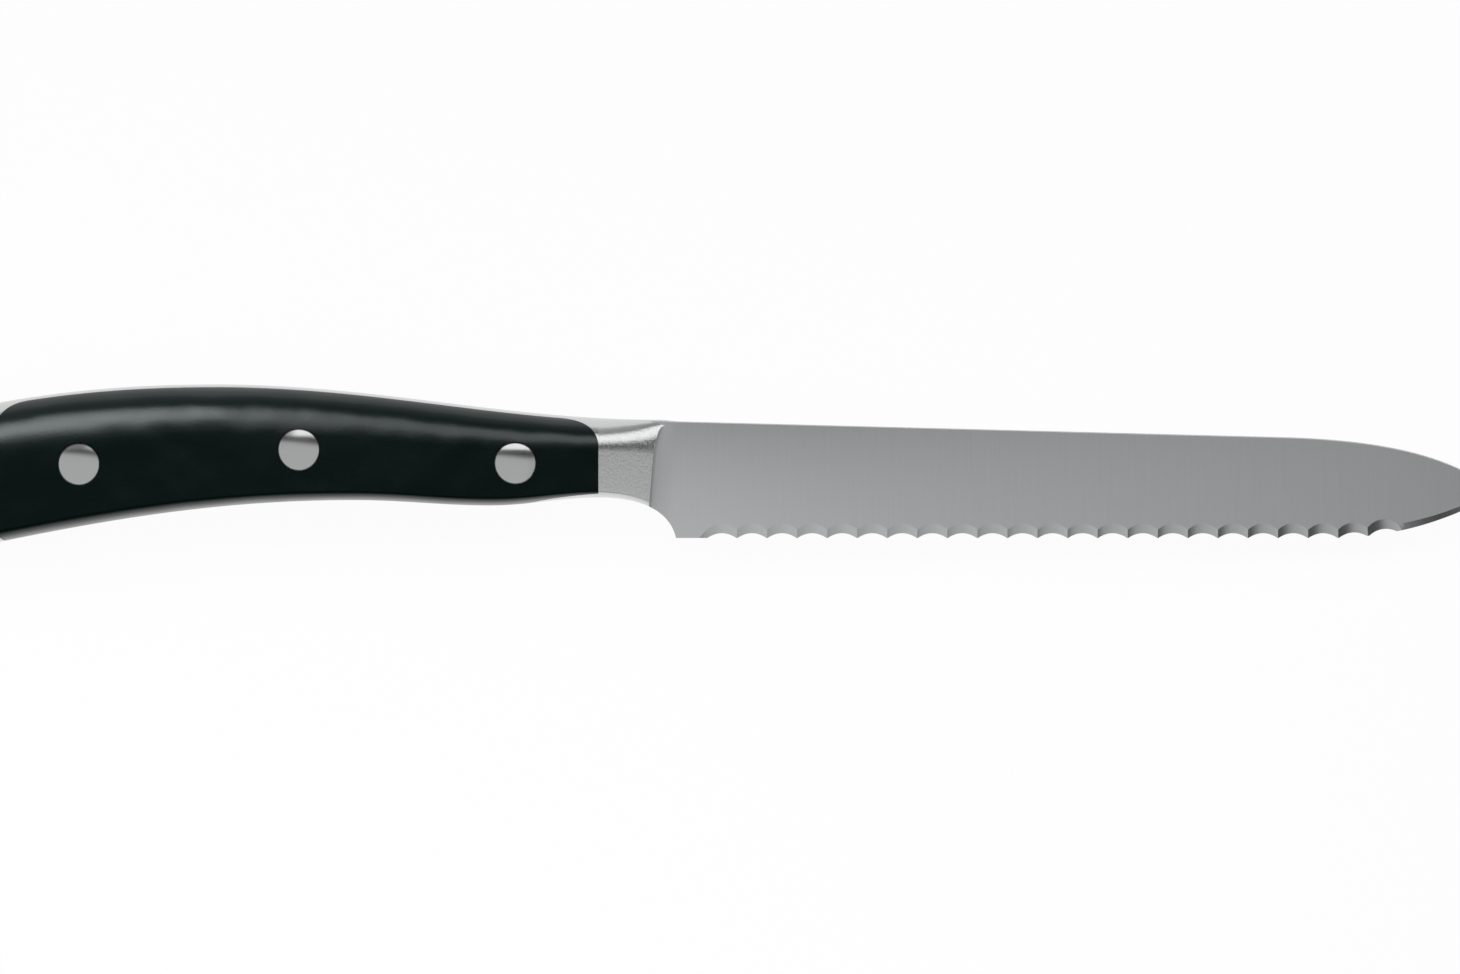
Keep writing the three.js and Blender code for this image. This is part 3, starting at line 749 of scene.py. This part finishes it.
# Rivet halves: a turned head on a shank at each point, its face laid on the handle and eased at the rim.
def rivet_tree(name, sizes, hollow):
    tree, size = sized_tree(name, sizes)
    quarter = math.pi / 2
    turn = add(tree, "ShaderNodeMath", {0: size["Side"], 1: -quarter, 2: quarter}, operation="MULTIPLY_ADD")
    aim = add(tree, "FunctionNodeEulerToRotation", {0: add(tree, "ShaderNodeCombineXYZ", {"X": turn})})

    # A round bar between two heights, and one of it at each point.
    def turned(radius, low, high, rings):
        bar = add(
            tree,
            "GeometryNodeMeshCylinder",
            {
                "Vertices": 128,
                "Fill Segments": rings,
                "Radius": radius,
                "Depth": add(tree, "ShaderNodeMath", {0: high, 1: low}, operation="SUBTRACT"),
            },
            fill_type="TRIANGLE_FAN",
        )
        ends = add(tree, "ShaderNodeMath", {0: high, 1: low})
        middle = add(tree, "ShaderNodeMath", {0: ends, 1: 0.5}, operation="MULTIPLY")
        lift = add(tree, "ShaderNodeCombineXYZ", {"Z": middle})
        return bar, add(tree, "GeometryNodeTransform", {"Geometry": bar, "Translation": lift})

    def at_each_point(piece):
        links = {"Points": size["Geometry"], "Instance": piece, "Rotation": aim}
        return add(tree, "GeometryNodeInstanceOnPoints", links)

    # Heads, each vertex of the face carrying its share of the radius.
    bar, head = turned(size["Head Radius"], size["Seat"], size["Blank Top"], 16)
    place = add(tree, "GeometryNodeInputPosition")
    flat = add(tree, "ShaderNodeVectorMath", {0: place, 1: (1, 1, 0)}, operation="MULTIPLY")
    out = add(tree, "ShaderNodeVectorMath", {0: flat}, operation="LENGTH").outputs["Value"]
    out = add(tree, "ShaderNodeMath", {0: out, 1: size["Head Radius"]}, operation="DIVIDE")
    head = add(tree, "GeometryNodeStoreNamedAttribute", {"Geometry": head, "Name": "out", "Value": out})
    head = add(
        tree,
        "GeometryNodeStoreNamedAttribute",
        {"Geometry": head, "Name": "face", "Value": bar.outputs["Top"]},
        data_type="BOOLEAN",
    )
    heads = add(tree, "GeometryNodeRealizeInstances", {0: at_each_point(head)})

    # The face drops onto the handle, a little lower toward its rim.
    above = add(tree, "ShaderNodeMath", {0: size["Side"], 1: float(BLANK)}, operation="MULTIPLY")
    above = add(tree, "ShaderNodeCombineXYZ", {"Z": above})
    above = add(tree, "ShaderNodeVectorMath", {0: place, 1: above})
    down = add(tree, "ShaderNodeMath", {0: size["Side"], 1: -1.0}, operation="MULTIPLY")
    down = add(tree, "ShaderNodeCombineXYZ", {"Z": down})
    shape = add(tree, "GeometryNodeObjectInfo", {"Object": size["Handle"]})
    touch = add(
        tree,
        "GeometryNodeRaycast",
        {
            "Target Geometry": shape.outputs["Geometry"],
            "Source Position": above,
            "Ray Direction": down,
            "Ray Length": 2.0 * BLANK,
        },
    ).outputs["Hit Position"]
    fall = add(tree, "GeometryNodeInputNamedAttribute", {"Name": "out"}, data_type="FLOAT")
    fall = add(tree, "ShaderNodeMath", {0: fall, 1: size["Rim Power"]}, operation="POWER")
    fall = add(tree, "ShaderNodeMath", {0: fall, 1: size["Rim Drop"]}, operation="MULTIPLY")
    fall = add(tree, "ShaderNodeVectorMath", {0: down, "Scale": fall}, operation="SCALE")
    heads = add(
        tree,
        "GeometryNodeSetPosition",
        {
            "Geometry": heads,
            "Selection": add(tree, "GeometryNodeInputNamedAttribute", {"Name": "face"}, data_type="BOOLEAN"),
            "Position": add(tree, "ShaderNodeVectorMath", {0: touch, 1: fall}),
        },
    )

    # Shanks, bored out on the sleeves.
    overlap = add(tree, "ShaderNodeMath", {0: size["Seat"], 1: HEAD_OVERLAP})
    shanks = at_each_point(turned(size["Shank Radius"], size["Shank End"], overlap, 1)[1])
    made = add(tree, "GeometryNodeMeshBoolean", {"Mesh 2": heads}, operation="UNION", solver="MANIFOLD")
    tree.links.new(shanks.outputs[0], made.inputs["Mesh 2"])
    if hollow:
        past_end = add(tree, "ShaderNodeMath", {0: size["Shank End"], 1: -BORE_LEAD})
        bores = at_each_point(turned(size["Bore Radius"], past_end, size["Bore End"], 1)[1])
        made = add(
            tree,
            "GeometryNodeMeshBoolean",
            {"Mesh 1": made, "Mesh 2": bores},
            operation="DIFFERENCE",
            solver="MANIFOLD",
        )
    whole = add(tree, "GeometryNodeRealizeInstances", {0: made})
    steel = add(tree, "GeometryNodeSetMaterial", {"Geometry": whole, "Material": size["Steel"]})
    add(tree, "NodeGroupOutput", {0: steel})
    return tree


def rivet_halves(name, side, shank, bore, handle):
    sizes = {
        "Side": float(side),
        "Head Radius": RIVET_HEAD / 2,
        "Seat": rivet_seat,
        "Blank Top": rivet_seat + HEAD_BLANK,
        "Rim Drop": HEAD_RIM_DROP,
        "Rim Power": HEAD_CROWN_POWER,
        "Shank Radius": shank / 2,
        "Shank End": -sleeve_end,
        "Bore Radius": bore / 2,
        "Bore End": sleeve_end + 2 * RIVET_FIT,
        "Handle": handle,
        "Steel": rivet_steel,
    }
    mesh = bpy.data.meshes.new(name)
    mesh.from_pydata([(x, y, 0) for x, y in rivet_places], [], [])
    piece = bpy.data.objects.new(name, mesh)
    bpy.context.scene.collection.objects.link(piece)
    grow(piece, rivet_tree(name, sizes, bore > 0), sizes)
    return piece


# Assembly

def twin(piece, name):
    copy = bpy.data.objects.new(name, piece.data.copy())
    bpy.context.scene.collection.objects.link(copy)
    return copy


# Moves a piece from the working place to the part's frame and gives it its shading, finish and body.
def settle(piece, nodes, slot, crease, *materials):
    mesh = piece.data
    corners = np.empty(len(mesh.vertices) * 3)
    mesh.vertices.foreach_get("co", corners)
    corners = (corners.reshape(-1, 3) + to_frame) / 1000
    mesh.vertices.foreach_set("co", corners.ravel())
    mesh.materials.clear()
    for material in materials:
        mesh.materials.append(material)
    mesh.shade_smooth()
    mesh.set_sharp_from_angle(angle=math.radians(crease))
    weigh = piece.modifiers.new("even_shading", "WEIGHTED_NORMAL")
    weigh.keep_sharp, weigh.weight = True, 50
    set_firm(piece)
    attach(piece, "root")
    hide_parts(*nodes)


def holes(name, radius):
    return [peg(name, x, y, radius, -BLANK, BLANK) for x, y in rivet_places]


handle = handle_body()
right_cove = cove_tool()
right_pocket = scale_blank(0)
forging = cut(
    twin(handle, "forged_blade_and_bolsters"),
    "DIFFERENCE",
    right_pocket,
    mirrored(right_pocket),
    right_cove,
    mirrored(right_cove),
)

blade = cut(wedge_blade(), "DIFFERENCE", notch_tool(), bevel_tool())
scallop_rise = math.tan(math.radians(SCALLOP_TILT)) + wedge
scallop_sizes = {
    "Scallops": SCALLOP_COUNT,
    "Start": SCALLOP_START,
    "Pitch": SCALLOP_PITCH,
    "Depth": SCALLOP_DEPTH,
    "Tilt": math.radians(SCALLOP_TILT),
    "Wheel Radius": (SCALLOP_PITCH / 2) ** 2 / (2 * SCALLOP_DEPTH * scallop_rise),
    "Wheel Width": HEEL_HEIGHT,
    "Sweep Start": sweep_start,
    "Sweep Radius": float(EDGE_SWEEP_RADIUS),
    "Face Depth": EDGE_THICKNESS / 2 + wedge * SCALLOP_DEPTH,
    "Steel": blade_steel,
}
grow(blade, scallop_tree(scallop_sizes), scallop_sizes)
cut(forging, "UNION", blade)
cut(forging, "DIFFERENCE", *holes("shank_hole", RIVET_SLEEVE / 2 + RIVET_FIT))

right_scale = twin(handle, "right_handle_scale")
left_scale = twin(handle, "left_handle_scale")
right_blank = scale_blank(SCALE_GAP)
left_blank = mirrored(right_blank)
for piece, blank in ((right_scale, right_blank), (left_scale, left_blank)):
    cut(piece, "INTERSECT", blank)
    cut(piece, "DIFFERENCE", *holes("rivet_hole", RIVET_HEAD / 2 + RIVET_GAP))

studs = rivet_halves("rivet_studs", 1, RIVET_STUD, 0, handle)
sleeves = rivet_halves("rivet_sleeves", -1, RIVET_SLEEVE, RIVET_STUD + 2 * RIVET_FIT, handle)
bpy.data.meshes.remove(handle.data)

stud_nodes = ["front_rivet_stud", "middle_rivet_stud", "rear_rivet_stud"]
sleeve_nodes = ["front_rivet_sleeve", "middle_rivet_sleeve", "rear_rivet_sleeve"]
settle(forging, ["blade_and_tang"], "blade_steel", FORGING_CREASE, blade_steel, bolster_steel)
settle(right_scale, ["right_scale"], "black_plastic", SCALE_CREASE, black_plastic)
settle(left_scale, ["left_scale"], "black_plastic", SCALE_CREASE, black_plastic)
settle(studs, stud_nodes, "rivet_steel", RIVET_CREASE, rivet_steel)
settle(sleeves, sleeve_nodes, "rivet_steel", RIVET_CREASE, rivet_steel)

# The bolsters and the tang are the forging behind the cove, and the round of the back above it.
cove_wall = cove_line - COVE_RADIUS / 1000
bolster_end = (BOLSTER_END + to_frame[0]) / 1000
for face in forging.data.polygons:
    behind = face.center.x - cove_slant * face.center.y < cove_wall
    above = face.center.x < bolster_end and face.normal.y > BACK_TURN
    face.material_index = 1 if behind or above else 0


# Studio

# White paper: as bright as the background to the camera and in reflections, with a faint shadow of the knife.
def studio_floor():
    sheet = bpy.data.meshes.new("studio_floor")
    reach = FLOOR_HALF
    corners = [(-reach, -reach, 0), (reach, -reach, 0), (reach, reach, 0), (-reach, reach, 0)]
    sheet.from_pydata(corners, [], [(0, 1, 2, 3)])
    floor = bpy.data.objects.new("studio_floor", sheet)
    bpy.context.scene.collection.objects.link(floor)
    material = bpy.data.materials.new("white_studio_paper")
    material.use_nodes = True
    tree = material.node_tree
    tree.nodes.clear()
    path = add(tree, "ShaderNodeLightPath").outputs
    seen = path["Is Camera Ray"]
    for kind in ("Is Glossy Ray", "Is Transmission Ray"):
        seen = add(tree, "ShaderNodeMath", {0: seen, 1: path[kind]}, operation="MAXIMUM")
    paper = add(tree, "ShaderNodeBsdfDiffuse", {"Color": linear("#e6e6e6")})
    glow = add(tree, "ShaderNodeEmission", {"Strength": 1.0})
    white = add(tree, "ShaderNodeMixShader", {0: PAPER_SHARE, 1: glow, 2: paper})
    shown = add(tree, "ShaderNodeMixShader", {0: seen, 1: paper, 2: white})
    add(tree, "ShaderNodeOutputMaterial", {"Surface": shown})
    sheet.materials.append(material)
    return floor


# A dim ceiling over pale walls.
def studio_dome(ceiling, walls):
    world = bpy.data.worlds.new("studio_dome")
    bpy.context.scene.world = world
    world.use_nodes = True
    tree = world.node_tree
    tree.nodes.clear()
    toward = add(tree, "ShaderNodeTexCoord").outputs["Generated"]
    height = add(tree, "ShaderNodeSeparateXYZ", {0: toward}).outputs["Z"]
    levels = {0: height, 1: WALL_TOP, 2: CEILING_EDGE, 3: walls, 4: ceiling}
    light = add(tree, "ShaderNodeMapRange", levels)
    path = add(tree, "ShaderNodeLightPath")
    glow = add(tree, "ShaderNodeBackground", {"Strength": light, "Color": (1, 1, 1, 1)})
    white = add(tree, "ShaderNodeBackground", {"Strength": 1.0, "Color": (1, 1, 1, 1)})
    shown = add(tree, "ShaderNodeMixShader", {0: path.outputs["Is Camera Ray"], 1: glow, 2: white})
    add(tree, "ShaderNodeOutputWorld", {"Surface": shown})


# A flat panel of light at a distance from a place, leaning along the knife and toward its back by two angles
# and facing that place. It lights only the pieces that are named.
def light_panel(name, place, leans, distance, width, depth, brightness, pieces):
    lamp = bpy.data.lights.new(name, "AREA")
    lamp.shape, lamp.size, lamp.size_y = "RECTANGLE", width, depth
    lamp.energy = brightness * math.pi * width * depth
    light = bpy.data.objects.new(name, lamp)
    bpy.context.scene.collection.objects.link(light)
    along, back = (math.radians(lean) for lean in leans)
    aim = np.array([math.sin(along) * math.cos(back), math.sin(back), math.cos(along) * math.cos(back)])
    light.location = np.array(place) + distance * aim
    light.rotation_euler = (-back, along, 0)
    light.visible_camera = False
    lit = bpy.data.collections.new(name)
    for piece in pieces:
        lit.objects.link(piece)
    light.light_linking.receiver_collection = lit
    return lamp


# Dims a panel between two shares of its width, fast at first and then slowly. With an edge, its far side is
# masked by a soft line that is lowest where the dimming starts.
def dim_along(lamp, start, loss, edge=None, end=1.0):
    lamp.use_nodes = True
    tree = lamp.node_tree
    tree.nodes.clear()
    place = add(tree, "ShaderNodeNewGeometry").outputs["Parametric"]
    place = add(tree, "ShaderNodeSeparateXYZ", {0: place})
    past = add(tree, "ShaderNodeMapRange", {0: place, 1: start, 2: end})
    past = add(tree, "ShaderNodeMath", {0: past, 1: DIM_POWER}, operation="POWER")
    light = add(tree, "ShaderNodeMath", {0: past, 1: -loss, 2: 1.0}, operation="MULTIPLY_ADD")
    if edge:
        low, slope, soft = edge
        beside = add(tree, "ShaderNodeMath", {0: place, 1: start}, operation="SUBTRACT")
        beside = add(tree, "ShaderNodeMath", {0: beside}, operation="ABSOLUTE")
        line = add(tree, "ShaderNodeMath", {0: beside, 1: slope, 2: low}, operation="MULTIPLY_ADD")
        over = add(tree, "ShaderNodeMath", {0: place.outputs["Y"], 1: line}, operation="SUBTRACT")
        open_part = add(tree, "ShaderNodeMapRange", {0: over, 1: -soft, 2: soft, 3: 1.0, 4: 0.0})
        light = add(tree, "ShaderNodeMath", {0: light, 1: open_part}, operation="MULTIPLY")
    glow = add(tree, "ShaderNodeEmission", {"Strength": light})
    add(tree, "ShaderNodeOutputLight", {0: glow})


# Straight above the knife, with the framing of the photograph: 245.28 mm across 1460 pixels.
def camera():
    lens = bpy.data.cameras.new("camera")
    view = bpy.data.objects.new("camera", lens)
    bpy.context.scene.collection.objects.link(view)
    lens.sensor_width = SENSOR_WIDTH
    lens.lens = SENSOR_WIDTH * CAMERA_HEIGHT / PICTURE_WIDTH
    lens.clip_end = 20
    view.location = (*PICTURE_MIDDLE, CAMERA_HEIGHT + KNIFE_MIDDLE)
    bpy.context.scene.camera = view


floor = studio_floor()
studio_dome(ceiling=0.04, walls=0.44)
scales = (right_scale, left_scale)
rivets = (studs, sleeves)
overhead = light_panel(
    "overhead_softbox",
    place=(-0.165, -0.005, KNIFE_MIDDLE),
    leans=(0, 0),
    distance=0.1,
    width=0.67,
    depth=0.08,
    brightness=0.7,
    pieces=(forging, floor),
)
dim_along(overhead, start=0.746, loss=0.48, edge=(0.585, 1.17, 0.045))
rivet_overhead = light_panel(
    "rivet_softbox",
    place=(-0.165, -0.005, KNIFE_MIDDLE),
    leans=(0, 0),
    distance=0.1,
    width=0.67,
    depth=0.08,
    brightness=0.57,
    pieces=rivets,
)
dim_along(rivet_overhead, start=0.746, loss=0.46, edge=(0.72, 0.9, 0.055))
front = light_panel(
    "front_softbox",
    place=(-0.1875, -0.2225, KNIFE_MIDDLE),
    leans=(0, 0),
    distance=0.1,
    width=0.625,
    depth=0.355,
    brightness=0.655,
    pieces=(forging, *rivets, floor),
)
dim_along(front, start=0.8, loss=0.295)
light_panel(
    "strip_light",
    place=(0, 0, 0),
    leans=(0, 42),
    distance=1.6,
    width=5.0,
    depth=0.92,
    brightness=1.45,
    pieces=(forging, floor),
)
rivet_strip = light_panel(
    "rivet_strip_light",
    place=(-0.09, 0, KNIFE_MIDDLE),
    leans=(0, 37),
    distance=0.1,
    width=0.28,
    depth=0.0625,
    brightness=1.3,
    pieces=rivets,
)
dim_along(rivet_strip, start=0.55, end=0.46, loss=0.82)
light_panel(
    "handle_strip_light",
    place=(0, 0, 0),
    leans=(0, 32.5),
    distance=1.6,
    width=5.0,
    depth=0.71,
    brightness=2.05,
    pieces=(*scales, floor),
)
light_panel(
    "butt_strip_light",
    place=(-0.212, 0, 0),
    leans=(0, 40),
    distance=0.4,
    width=0.25,
    depth=0.2,
    brightness=4.1,
    pieces=scales,
)
light_panel(
    "palm_softbox",
    place=(-0.066, 0, 0.0146),
    leans=(0, 18),
    distance=0.15,
    width=0.028,
    depth=0.036,
    brightness=1.7,
    pieces=scales,
)
light_panel(
    "side_softbox",
    place=(0, -0.165, 0),
    leans=(46, 0),
    distance=0.93,
    width=0.3,
    depth=0.37,
    brightness=0.24,
    pieces=(forging,),
)
camera()
bpy.context.scene.view_settings.view_transform = "Standard"
